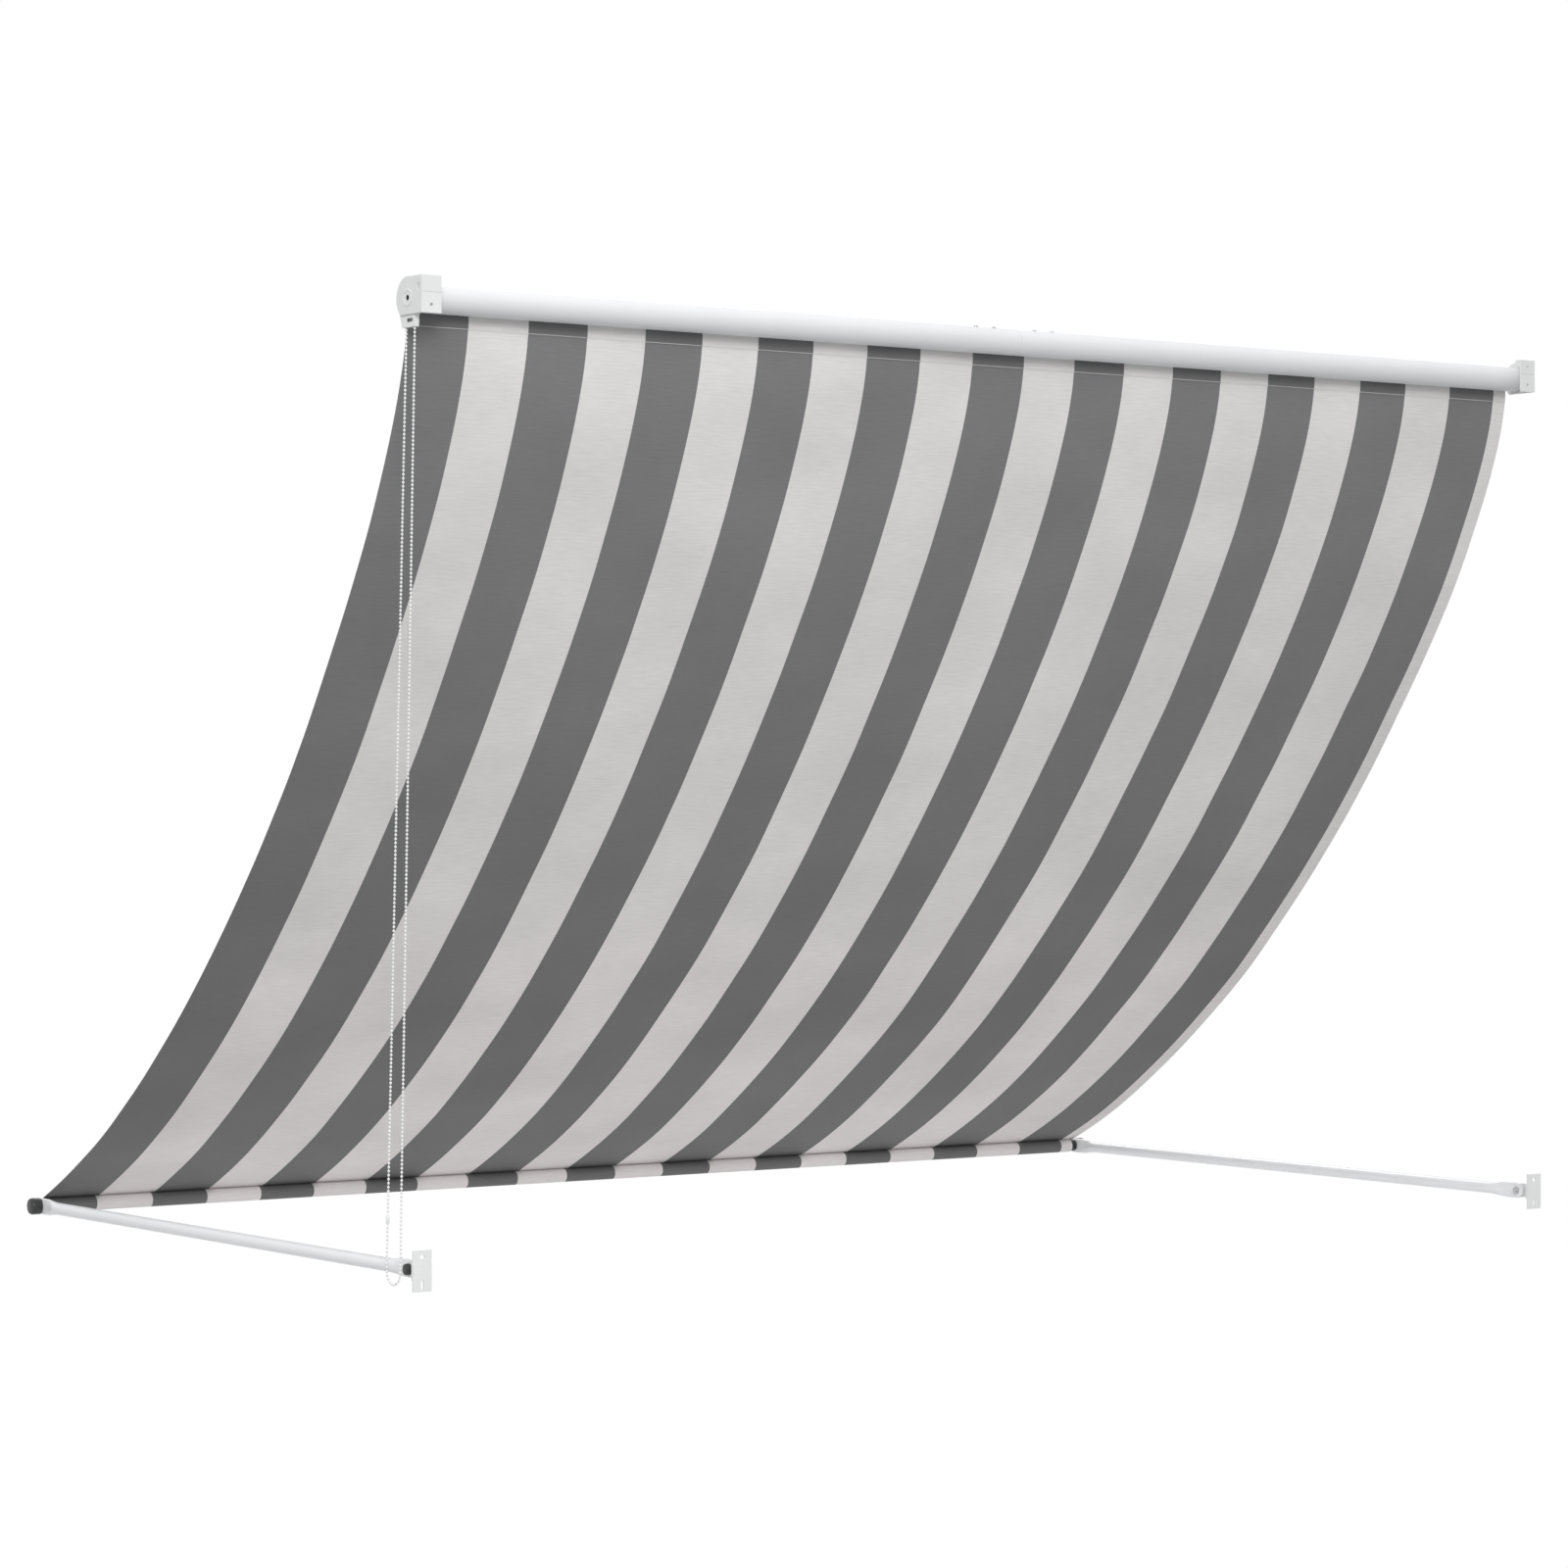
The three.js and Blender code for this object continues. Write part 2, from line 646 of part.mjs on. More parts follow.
function armSkin(inset, sides) {
  const steps = 4;
  const near = Array.from({ length: steps + 1 }, (_, i) => flatLength + (flatRun * i) / steps);
  const reach = flatHeight / 2 + 2 + inset;
  const stations = [-reach, ...near, ...near.map((d) => armLength - d).reverse(), armLength + reach];
  const positions = [];
  const ring = (distance) => {
    const round = roundness(Math.min(distance, armLength - distance));
    return Array.from({ length: sides }, (_, i) => {
      const angle = (2 * Math.PI * i) / sides;
      const [fx, fz] = flatPoint(angle, flatHeight / 2 - inset, flatThickness / 2 - inset);
      const radius = armRadius - inset;
      return [
        THREE.MathUtils.lerp(fx, radius * Math.cos(angle), round),
        -distance,
        THREE.MathUtils.lerp(fz, radius * Math.sin(angle), round),
      ];
    });
  };
  const rings = stations.map(ring);
  const addTriangle = (a, b, c) => positions.push(...a, ...b, ...c);
  for (let s = 0; s + 1 < rings.length; s++) {
    for (let i = 0; i < sides; i++) {
      const j = (i + 1) % sides;
      addTriangle(rings[s][i], rings[s][j], rings[s + 1][i]);
      addTriangle(rings[s][j], rings[s + 1][j], rings[s + 1][i]);
    }
  }
  const last = rings.length - 1;
  const centre = (distance) => [0, -distance, 0];
  for (let i = 0; i < sides; i++) {
    const j = (i + 1) % sides;
    addTriangle(centre(stations[0]), rings[0][j], rings[0][i]);
    addTriangle(centre(stations[last]), rings[last][i], rings[last][j]);
  }
  const geometry = new THREE.BufferGeometry();
  geometry.setAttribute('position', new THREE.Float32BufferAttribute(positions, 3));
  return solid(geometry);
}

function armOutline() {
  const radius = flatHeight / 2;
  const shape = new THREE.Shape();
  shape.absarc(0, 0, radius, -Math.PI / 2, Math.PI / 2, false);
  shape.absarc(-armLength, 0, radius, Math.PI / 2, Math.PI * 1.5, false);
  return shape;
}

function arm() {
  const width = armRadius + 2;
  return cutAll(
    armSkin(0, 24).intersect(solid(extrudeX(armOutline(), -width, width, 10))),
    armSkin(armWall, 24),
    solid(rod(pivotBolt.radius + boltClearance, -width, width)),
    solid(rod(barBolt.radius + boltClearance, -width, width, barY)),
  );
}

const armGeometry = geometryOf(arm());
piece('arm_chain', armGeometry.clone(), whitePaint(), armFrame).position.x = chainArmX;
piece('arm_idle', armGeometry.clone(), whitePaint(), armFrame).position.x = idleArmX;

// Front bar: two tube halves on a joiner, a spacer plug at each end, bolted to the arms

const barTubeStart = barStart - spacerLength - gap;
const barTubeEnd = barEnd + spacerLength + gap;
const barTube = (x0, x1) =>
  geometryOf(solid(rod(barRadius, x0, x1, barY, 0, 32))
    .subtract(solid(rod(barRadius - barWall, x0 - 1, x1 + 1, barY, 0, 32))));
const spigotRadius = barRadius - barWall - gap;
piece('front_bar_chain_half', barTube(barMiddle + tubeGap, barTubeStart), whitePaint(), armFrame);
piece('front_bar_idle_half', barTube(barTubeEnd, barMiddle - tubeGap), whitePaint(), armFrame);
piece(
  'front_bar_joiner',
  geometryOf(solid(rod(
    spigotRadius, barMiddle - barJoinerLength / 2, barMiddle + barJoinerLength / 2, barY, 0, 24,
  ))),
  greyPlastic(),
  armFrame,
);

// inwards is the direction of X from the arm to the middle of the bar
function barEndSet(side, armX, inwards) {
  const face = armX + (inwards * flatThickness) / 2;
  const back = armX - (inwards * flatThickness) / 2;
  const along = (from, a, b) => [from + inwards * a, from + inwards * b].sort((p, q) => p - q);
  const hole = solid(rod(barBolt.radius + boltClearance, ...along(face, -1, barBolt.length), barY));
  const spacer = solid(rod(spacerRadius, ...along(face, gap, gap + spacerLength), barY, 0, 28))
    .add(solid(rod(spigotRadius, ...along(face, spacerLength, spacerLength + spigotLength), barY)));
  piece(`bar_spacer_${side}`, geometryOf(spacer.subtract(hole)), blackPlastic(), armFrame);

  const headEnd = -gap - barBolt.headHeight;
  const bolt = solid(rod(barBolt.radius, ...along(back, -gap, barBolt.length), barY, 0, 20))
    .add(solid(rod(barBolt.head, ...along(back, headEnd, -gap), barY, 0, 6)));
  piece(`bar_bolt_${side}`, geometryOf(bolt), zincSteel(), armFrame);

  const outer = -gap - barCap.length;
  const list = [
    [0, outer],
    [barCap.radius - barCap.round, outer],
    [barCap.radius - barCap.round * 0.29, outer + barCap.round * 0.29],
    [barCap.radius, outer + barCap.round],
    [barCap.radius, -gap],
    [barBolt.head + gap, -gap],
    [barBolt.head + gap, headEnd - gap],
    [0, headEnd - gap],
  ].map(([radius, distance]) => [radius, back + inwards * distance]);
  const cap = turned(inwards > 0 ? list : list.reverse(), 32).translate(0, barY, 0);
  piece(`bar_end_cap_${side}`, cap, blackPlastic(), armFrame);
}

barEndSet('chain', chainArmX, -1);
barEndSet('idle', idleArmX, 1);

// Cloth: from the groove over the street side of the roller, down in a slack curve,
// and round the front bar as a sleeve. Its sections are drawn in (y, z) of the whole
// awning and pushed across the width, one step for each stripe.

// Middle line of the sheet, from the groove to where it meets the sleeve
function sheetLine(sleeve) {
  const axis = new THREE.Vector2(-rollerOut, rollerZ);
  const bar = new THREE.Vector2(-pivotOut - armLength, pivotZ);
  const wrap = tubeRadius + gap + clothThickness / 2;
  const polar = (radius, angle) =>
    new THREE.Vector2(-radius * Math.cos(angle), radius * Math.sin(angle)).add(axis);
  const points = [polar(grooveRadius + kederRadius + gap, grooveAngle)];
  const wrapSteps = 4;
  for (let i = 0; i < wrapSteps; i++) {
    points.push(polar(wrap, THREE.MathUtils.lerp(grooveAngle, -leaveAngle, i / wrapSteps)));
  }
  const top = polar(wrap, -leaveAngle);
  const leave = new THREE.Vector2(Math.sin(leaveAngle), -Math.cos(leaveAngle));
  const slope = new THREE.Vector2(Math.cos(barSlope), Math.sin(barSlope));
  const end = bar.clone().add(new THREE.Vector2(-slope.y, slope.x).multiplyScalar(sleeve));
  const fall = new THREE.CubicBezierCurve(
    top,
    top.clone().addScaledVector(leave, rollerPull),
    end.clone().addScaledVector(slope, barPull),
    end,
  );
  return { points: [...points, ...fall.getPoints(20)], bar };
}

// Each point of a line moved sideways by a distance, to the left of its direction
function offsetLine(points, distance) {
  const side = (a, b) => new THREE.Vector2(a.y - b.y, b.x - a.x).normalize();
  return points.map((point, i) => {
    const before = i > 0 ? side(points[i - 1], point) : side(point, points[1]);
    const after = i + 1 < points.length ? side(point, points[i + 1]) : before;
    const mean = before.clone().add(after).normalize();
    const stretch = Math.min(1 / mean.dot(after), 1.6);
    return point.clone().addScaledVector(mean, distance * stretch);
  });
}

// The sheet and the sleeve as two closed outlines that share the edge where they meet
function clothSections() {
  const sleeve = barRadius + sleeveClearance + clothThickness / 2;
  const half = clothThickness / 2;
  const outer = sleeve + half;
  const inner = sleeve - half;
  const { points, bar } = sheetLine(sleeve);
  const wallSide = offsetLine(points, half);
  const streetSide = offsetLine(points, -half);
  const from = Math.PI / 2 + barSlope;
  const sweep = 2 * Math.PI - Math.acos((inner - gap) / outer);
  const steps = 16;
  const ring = (radius) => Array.from({ length: steps + 1 }, (_, i) => {
    const angle = from + (sweep * i) / steps;
    return new THREE.Vector2(bar.x + radius * Math.cos(angle), bar.y + radius * Math.sin(angle));
  });
  const outerRing = ring(outer);
  const innerRing = ring(inner);
  outerRing[0] = streetSide[streetSide.length - 1];
  innerRing[0] = wallSide[wallSide.length - 1];
  return {
    sheet: [...streetSide, ...wallSide.reverse()],
    meeting: streetSide.length - 1,
    loop: [...outerRing, ...innerRing.reverse()],
  };
}

// Stations across the width with the colour of the stripe that starts at each
function clothStations() {
  const stripe = (clothStart - clothEnd - edgeStrip) / stripeCount;
  const stations = [{ x: clothStart, color: darkStripe }, { x: sleeveStart, color: darkStripe }];
  for (let i = 1; i <= stripeCount; i++) {
    stations.push({ x: clothStart - i * stripe, color: i % 2 ? lightStripe : darkStripe });
  }
  stations.push({ x: sleeveEnd, color: lightStripe }, { x: clothEnd, color: lightStripe });
  return stations;
}

function clothGeometry() {
  const { sheet, meeting, loop } = clothSections();
  const stations = clothStations();
  const positions = [];
  const colors = [];
  const add = (color, ...corners) => {
    for (const [x, point] of corners) {
      positions.push(x, point.x, point.y);
      colors.push(color.r, color.g, color.b);
    }
  };
  const addWall = (color, x0, x1, outline, left) => {
    outline.forEach((point, i) => {
      if (i === left) return;
      const next = outline[(i + 1) % outline.length];
      add(color, [x0, point], [x0, next], [x1, point]);
      add(color, [x1, point], [x0, next], [x1, next]);
    });
  };
  const addEnds = (x0, x1, outline) => {
    for (const [a, b, c] of THREE.ShapeUtils.triangulateShape(outline, [])) {
      add(darkStripe, [x1, outline[a]], [x1, outline[b]], [x1, outline[c]]);
      add(lightStripe, [x0, outline[c]], [x0, outline[b]], [x0, outline[a]]);
    }
  };
  for (let s = 0; s + 1 < stations.length; s++) {
    const { x: x1, color } = stations[s];
    const x0 = stations[s + 1].x;
    const sleeved = x1 <= sleeveStart && x0 >= sleeveEnd;
    addWall(color, x0, x1, sheet, sleeved ? meeting : -1);
    if (sleeved) addWall(color, x0, x1, loop, loop.length - 1);
  }
  addEnds(clothEnd, clothStart, sheet);
  addEnds(sleeveEnd, sleeveStart, loop);
  const geometry = new THREE.BufferGeometry();
  geometry.setAttribute('position', new THREE.Float32BufferAttribute(positions, 3));
  geometry.setAttribute('color', new THREE.Float32BufferAttribute(colors, 3));
  geometry.computeVertexNormals();
  return geometry;
}

const clothMaterial = new THREE.MeshStandardMaterial({ vertexColors: true, roughness: 0.92 });
piece('canopy_cloth', clothGeometry(), clothMaterial, awning);

// Bead chain: an endless loop over the sprocket that hangs past the outer side of the arm.
// Its route starts above the connector, climbs the street-side strand, goes over the
// sprocket and comes down the wall-side strand to the bottom of the loop.

const chainPoints = [
  [33.9, -80.8, -1491.5],
  [30.9, -77.6, -1290],
  [27.9, -74.5, -1090],
  [25, -71.3, -890],
  [22, -68.2, -690],
  [19, -65, -490],
  [16.1, -61.9, -290],
  [13.8, -59.5, -138],
  [12.6, -58.2, -60],
  [12.2, -58.2, -30],
  [12.2, -58.2, -3.5],
  [12.2, -56.43, 3.1],
  [12.2, -51.6, 7.93],
  [12.2, -45, 9.7],
  [12.2, -38.4, 7.93],
  [12.2, -33.57, 3.1],
  [12.2, -31.8, -3.5],
  [12.2, -31.8, -30],
  [12.6, -31.8, -60],
  [13.8, -32.1, -138],
  [16.1, -32.8, -290],
  [19, -33.7, -490],
  [22, -34.6, -690],
  [25, -35.6, -890],
  [27.9, -36.6, -1090],
  [30.9, -37.6, -1290],
  [33.9, -38.6, -1491.5],
  [35.2, -38.9, -1581.2],
  [35.3, -41.78, -1591.95],
  [35.4, -49.65, -1599.82],
  [35.4, -60.4, -1602.7],
  [35.4, -71.15, -1599.82],
  [35.3, -79.02, -1591.95],
  [35.2, -81.9, -1581.2],
  [34.7, -81.5, -1545],
  [34.1, -81, -1505],
].map((point) => new THREE.Vector3(...point));

function chainGeometry() {
  const route = new THREE.CatmullRomCurve3(chainPoints, false, 'centripetal');
  route.getPointAt = (u, target) => route.getPoint(u, target);
  route.getTangentAt = (u, target) => route.getTangent(u, target);
  return new THREE.ExtrudeGeometry(circleShape(chainRadius), {
    steps: (chainPoints.length - 1) * 2,
    extrudePath: route,
    curveSegments: 8,
  });
}

piece('bead_chain', chainGeometry(), whitePlastic(), awning);

function connectorGeometry() {
  const top = chainPoints[0];
  const bottom = chainPoints[chainPoints.length - 1];
  const along = top.clone().sub(bottom);
  const half = along.length() / 2 - gap;
  const shoulder = half - 2.5;
  const profile = [
    [0, -half],
    [chainRadius, -half],
    [connectorRadius, -shoulder],
    [connectorRadius, shoulder],
    [chainRadius, half],
    [0, half],
  ].map(([radius, y]) => new THREE.Vector2(radius, y));
  const turn = new THREE.Quaternion().setFromUnitVectors(new THREE.Vector3(0, 1, 0), along.clone().normalize());
  const middle = top.clone().add(bottom).multiplyScalar(0.5);
  return new THREE.LatheGeometry(profile, 16).applyQuaternion(turn).translate(middle.x, middle.y, middle.z);
}

piece('chain_connector', connectorGeometry(), whitePlastic(), awning);

export default awning;
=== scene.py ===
"""Looks of the drop-arm window awning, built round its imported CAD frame.

Metres, in the frame of the CAD part: the wall is y = 0, the street lies towards -Y, +Z is
up, and the awning runs from its chain end, near x = 0, towards -X.
"""

import json
import math

import bpy
import numpy as np
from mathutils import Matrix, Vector, noise


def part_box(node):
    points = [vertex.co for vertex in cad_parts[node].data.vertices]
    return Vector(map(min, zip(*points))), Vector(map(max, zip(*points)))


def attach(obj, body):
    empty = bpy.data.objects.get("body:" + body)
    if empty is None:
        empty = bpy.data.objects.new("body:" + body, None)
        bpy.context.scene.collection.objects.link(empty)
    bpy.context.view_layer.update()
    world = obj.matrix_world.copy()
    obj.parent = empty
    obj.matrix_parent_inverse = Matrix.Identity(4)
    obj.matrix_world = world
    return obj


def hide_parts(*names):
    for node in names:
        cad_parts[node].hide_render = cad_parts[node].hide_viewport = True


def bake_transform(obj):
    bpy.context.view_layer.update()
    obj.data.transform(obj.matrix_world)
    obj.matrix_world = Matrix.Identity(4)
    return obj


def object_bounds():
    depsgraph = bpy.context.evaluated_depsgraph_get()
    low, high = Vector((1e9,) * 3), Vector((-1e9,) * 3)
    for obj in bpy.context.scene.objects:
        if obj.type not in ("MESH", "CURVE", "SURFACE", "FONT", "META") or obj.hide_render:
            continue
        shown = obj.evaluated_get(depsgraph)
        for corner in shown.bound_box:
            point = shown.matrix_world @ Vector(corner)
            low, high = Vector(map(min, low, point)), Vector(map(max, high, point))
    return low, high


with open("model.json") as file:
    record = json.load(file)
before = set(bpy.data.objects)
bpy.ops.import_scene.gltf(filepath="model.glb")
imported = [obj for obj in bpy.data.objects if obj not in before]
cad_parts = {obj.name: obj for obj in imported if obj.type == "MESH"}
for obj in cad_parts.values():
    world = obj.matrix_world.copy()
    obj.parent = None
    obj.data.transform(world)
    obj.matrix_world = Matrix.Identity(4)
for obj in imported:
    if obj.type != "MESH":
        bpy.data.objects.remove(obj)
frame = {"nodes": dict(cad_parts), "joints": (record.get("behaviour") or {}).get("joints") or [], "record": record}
cad_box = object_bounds()
nodes = frame["nodes"]
joints = {joint["name"]: joint for joint in frame["joints"]}


# Camera fitted to the photograph's straight edges: it stands behind the plane of the wall

camera_data = bpy.data.cameras.new("photo_camera")
camera_data.lens = 102.8
camera_data.sensor_width = 36
camera_data.clip_end = 100
camera = bpy.data.objects.new("photo_camera", camera_data)
camera.location = (3.7245, 6.2181, -0.8058)
camera.rotation_mode = "QUATERNION"
camera.rotation_quaternion = Vector((-0.5796, -0.8149, 0.002)).to_track_quat("-Z", "Y")
bpy.context.scene.collection.objects.link(camera)
bpy.context.scene.camera = camera
bpy.context.scene.view_settings.view_transform = "Standard"


# Places and sizes taken from the CAD part

roller_axis = Vector(joints["roller_turn"]["pos_m"])
tube_low, tube_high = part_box("roller_tube_chain_half")
tube_radius = (tube_high.y - tube_low.y) / 2
bar_low, bar_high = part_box("front_bar_chain_half")
bar_centre = (bar_low + bar_high) / 2
bar_radius = (bar_high.z - bar_low.z) / 2
cloth_low, cloth_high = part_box("canopy_cloth")


# Meshes

weld_distance = 1e-5
rounded_above_degrees = 50


def mesh_object(name, vertices, faces, material, sharp_degrees=40):
    mesh = bpy.data.meshes.new(name)
    mesh.from_pydata([tuple(v) for v in vertices], [], faces)
    mesh.polygons.foreach_set("use_smooth", [True] * len(mesh.polygons))
    mesh.set_sharp_from_angle(angle=math.radians(sharp_degrees))
    mesh.materials.append(material)
    piece = bpy.data.objects.new(name, mesh)
    bpy.context.scene.collection.objects.link(piece)
    return piece


def smooth_cad(piece, edge_radius=0.0, sharp_degrees=32):
    """Round stretches of a faceted CAD node shade smooth, and its real edges stay crisp.

    Cast and moulded pieces get edges rounded to edge_radius, and their flat faces stay flat.
    """
    mesh = piece.data
    for name in ("custom_normal", "sharp_edge", "sharp_face"):
        if name in mesh.attributes:
            mesh.attributes.remove(mesh.attributes[name])
    mesh.polygons.foreach_set("use_smooth", [True] * len(mesh.polygons))
    weld = piece.modifiers.new("weld", "WELD")
    weld.merge_threshold = weld_distance
    if edge_radius:
        rounding = piece.modifiers.new("rounding", "BEVEL")
        rounding.width = edge_radius
        rounding.segments = 2
        rounding.limit_method = "ANGLE"
        rounding.angle_limit = math.radians(rounded_above_degrees)
        flat_faces = piece.modifiers.new("flat_faces", "WEIGHTED_NORMAL")
        flat_faces.weight = 100
    else:
        edges = piece.modifiers.new("edges", "EDGE_SPLIT")
        edges.split_angle = math.radians(sharp_degrees)


def across(a, b, share):
    return a + (b - a) * share


def lengths_along(line):
    """How far along a line of points each of them lies."""
    return np.concatenate([[0], np.cumsum(np.linalg.norm(np.diff(line, axis=0), axis=1))])


# Materials


def new_material(name, color, roughness, metallic=0.0):
    material = bpy.data.materials.new(name)
    material.use_nodes = True
    shader = material.node_tree.nodes["Principled BSDF"]
    shader.inputs["Base Color"].default_value = (*color, 1)
    shader.inputs["Roughness"].default_value = roughness
    shader.inputs["Metallic"].default_value = metallic
    return material, shader


def add_node(material, kind, **settings):
    """A node with its settings, where a setting named in_NAME is the value of that input."""
    node = material.node_tree.nodes.new(kind)
    for key, value in settings.items():
        if key.startswith("in_"):
            node.inputs[key[3:].replace("_", " ")].default_value = value
        else:
            setattr(node, key, value)
    return node


def link(material, output, socket):
    material.node_tree.links.new(output, socket)


def math_node(material, operation, *values):
    node = add_node(material, "ShaderNodeMath", operation=operation)
    for socket, value in zip(node.inputs, values):
        if isinstance(value, (int, float)):
            socket.default_value = value
        else:
            link(material, value, socket)
    return node.outputs[0]


def mix_colors(material, factor, a, b):
    node = add_node(material, "ShaderNodeMix", data_type="RGBA")
    factor_socket, first_color, second_color = node.inputs[0], node.inputs[6], node.inputs[7]
    for socket, value in ((factor_socket, factor), (first_color, a), (second_color, b)):
        if isinstance(value, (int, float, tuple)):
            socket.default_value = (*value, 1) if isinstance(value, tuple) else value
        else:
            link(material, value, socket)
    return node.outputs[2]


def stretched_noise(material, source, stretch, scale, detail=3.0):
    mapping = add_node(material, "ShaderNodeMapping", in_Scale=stretch)
    link(material, source, mapping.inputs["Vector"])
    texture = add_node(material, "ShaderNodeTexNoise", in_Scale=scale, in_Detail=detail)
    link(material, mapping.outputs["Vector"], texture.inputs["Vector"])
    return texture.outputs["Fac"]


def ranged(material, value, low, high):
    """Noise, which mostly lies between 0.3 and 0.7, spread from low to high."""
    node = add_node(material, "ShaderNodeMapRange")
    node.inputs["From Min"].default_value = 0.3
    node.inputs["From Max"].default_value = 0.7
    node.inputs["To Min"].default_value = low
    node.inputs["To Max"].default_value = high
    link(material, value, node.inputs["Value"])
    return node.outputs["Result"]


def bumped(material, shader, height, distance, strength=1.0):
    bump = add_node(material, "ShaderNodeBump", in_Distance=distance, in_Strength=strength)
    link(material, height, bump.inputs["Height"])
    link(material, bump.outputs["Normal"], shader.inputs["Normal"])


def shaded(color, share):
    return tuple(channel * share for channel in color)


mottling_scale = 14


def coating(name, color, roughness, grain, depth, stretch=(1, 1, 1), metallic=0.0, spread=0.08):
    """A moulded, cast, coated or plated surface: fine grain, faint mottling, uneven sheen."""
    material, shader = new_material(name, color, roughness, metallic)
    place = add_node(material, "ShaderNodeTexCoord").outputs["Object"]
    fine = stretched_noise(material, place, stretch, grain)
    broad = stretched_noise(material, place, (1, 1, 1), mottling_scale, detail=4.0)
    tone = ranged(material, broad, 0.0, 1.0)
    color_mix = mix_colors(material, tone, shaded(color, 1 - spread), color)
    link(material, color_mix, shader.inputs["Base Color"])
    uneven = ranged(material, broad, roughness * 0.85, roughness * 1.2)
    link(material, uneven, shader.inputs["Roughness"])
    bumped(material, shader, fine, depth)
    return material


finishes = {
    "white_cast": coating("white_cast", (0.8, 0.81, 0.805), 0.42, 900, 0.00012),
    "white_paint": coating(
        "white_paint", (0.83, 0.84, 0.845), 0.33, 500, 0.00005, stretch=(0.05, 1, 1), spread=0.03
    ),
    "white_plastic": coating("white_plastic", (0.83, 0.84, 0.83), 0.3, 700, 0.00004, spread=0.04),
    "black_plastic": coating(
        "black_plastic", (0.022, 0.024, 0.024), 0.36, 1400, 0.00008, spread=0.3
    ),
    "grey_plastic": coating("grey_plastic", (0.3, 0.31, 0.32), 0.5, 1000, 0.00006),
    "zinc_steel": coating(
        "zinc_steel", (0.62, 0.63, 0.64), 0.3, 1200, 0.00004, metallic=1.0, spread=0.15
    ),
}

roller_paint = coating(
    "roller_paint", (0.775, 0.785, 0.79), 0.5, 500, 0.00005, stretch=(0.05, 1, 1), spread=0.03
)
roller_paint.node_tree.nodes["Principled BSDF"].inputs["Specular IOR Level"].default_value = 0.2


def add_painted_bore_shade(material, beyond_x, radius):
    """The spindle's end shows in the bore of the end plate. Painted shade: the spindle's end and its bore are
    painted near-black, for the shadow deep in the bore.
    """
    shader = material.node_tree.nodes["Principled BSDF"]
    moulded = shader.inputs["Base Color"].links[0].from_socket
    place = add_node(material, "ShaderNodeTexCoord").outputs["Object"]
    parts = add_node(material, "ShaderNodeSeparateXYZ")
    link(material, place, parts.inputs["Vector"])
    off_y = math_node(material, "SUBTRACT", parts.outputs["Y"], roller_axis.y)
    off_z = math_node(material, "SUBTRACT", parts.outputs["Z"], roller_axis.z)
    off_z_squared = math_node(material, "MULTIPLY", off_z, off_z)
    squared = math_node(material, "MULTIPLY_ADD", off_y, off_y, off_z_squared)
    near = math_node(material, "LESS_THAN", squared, radius**2)
    outside = math_node(material, "GREATER_THAN", parts.outputs["X"], beyond_x)
    bore_shade_mask = math_node(material, "MULTIPLY", near, outside)
    # Painted shade: near-black where the bore lies in shadow.
    colors = mix_colors(material, bore_shade_mask, moulded, (0.015, 0.016, 0.016))
    link(material, colors, shader.inputs["Base Color"])


sprocket_plastic = coating("sprocket_plastic", (0.83, 0.84, 0.83), 0.35, 700, 0.00004, spread=0.04)
# Painted shade: the length and radius of the spindle end and bore that are painted near-black.
bore_shade_length = 0.023
bore_shade_radius = 0.0049
spindle_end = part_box("drive_sprocket")[1].x
add_painted_bore_shade(sprocket_plastic, spindle_end - bore_shade_length, bore_shade_radius)

moulded_edges = {
    "chain_bracket": 0.0005,
    "idle_bracket": 0.0005,
    "chain_guard": 0.0003,
    "lower_bracket_chain": 0.0005,
    "lower_bracket_idle": 0.0005,
}
special_finishes = {
    "roller_tube_chain_half": roller_paint,
    "roller_tube_idle_half": roller_paint,
    "drive_sprocket": sprocket_plastic,
}

for subpart in frame["record"]["subparts"]:
    slot_name = subpart["material_slot"]
    if slot_name in finishes:
        node = nodes[subpart["node"]]
        smooth_cad(node, moulded_edges.get(subpart["node"], 0.0))
        finish = special_finishes.get(subpart["node"], finishes[slot_name])
        node.material_slots[0].material = finish


# Bead chain: the route of the CAD part, in metres, from the connector up the street-side
# strand, over the sprocket, down the wall-side strand and round the bottom of the loop

bead_diameter = 0.0045
bead_pitch = 0.0065
bead_sides = 10
thread_diameter = 0.001
thread_reach = bead_pitch * 0.3  # from the middle of a link into the beads on both sides
thread_sides = 6
route_steps = 24

chain_route = [
    (0.0339, -0.0808, -1.4915),
    (0.0309, -0.0776, -1.29),
    (0.0279, -0.0745, -1.09),
    (0.025, -0.0713, -0.89),
    (0.022, -0.0682, -0.69),
    (0.019, -0.065, -0.49),
    (0.0161, -0.0619, -0.29),
    (0.0138, -0.0595, -0.138),
    (0.0126, -0.0582, -0.06),
    (0.0122, -0.0582, -0.03),
    (0.0122, -0.0582, -0.0035),
    (0.0122, -0.05643, 0.0031),
    (0.0122, -0.0516, 0.00793),
    (0.0122, -0.045, 0.0097),
    (0.0122, -0.0384, 0.00793),
    (0.0122, -0.03357, 0.0031),
    (0.0122, -0.0318, -0.0035),
    (0.0122, -0.0318, -0.03),
    (0.0126, -0.0318, -0.06),
    (0.0138, -0.0321, -0.138),
    (0.0161, -0.0328, -0.29),
    (0.019, -0.0337, -0.49),
    (0.022, -0.0346, -0.69),
    (0.025, -0.0356, -0.89),
    (0.0279, -0.0366, -1.09),
    (0.0309, -0.0376, -1.29),
    (0.0339, -0.0386, -1.4915),
    (0.0352, -0.0389, -1.5812),
    (0.0353, -0.04178, -1.59195),
    (0.0354, -0.04965, -1.59982),
    (0.0354, -0.0604, -1.6027),
    (0.0354, -0.07115, -1.59982),
    (0.0353, -0.07902, -1.59195),
    (0.0352, -0.0819, -1.5812),
    (0.0347, -0.0815, -1.545),
    (0.0341, -0.081, -1.505),
]


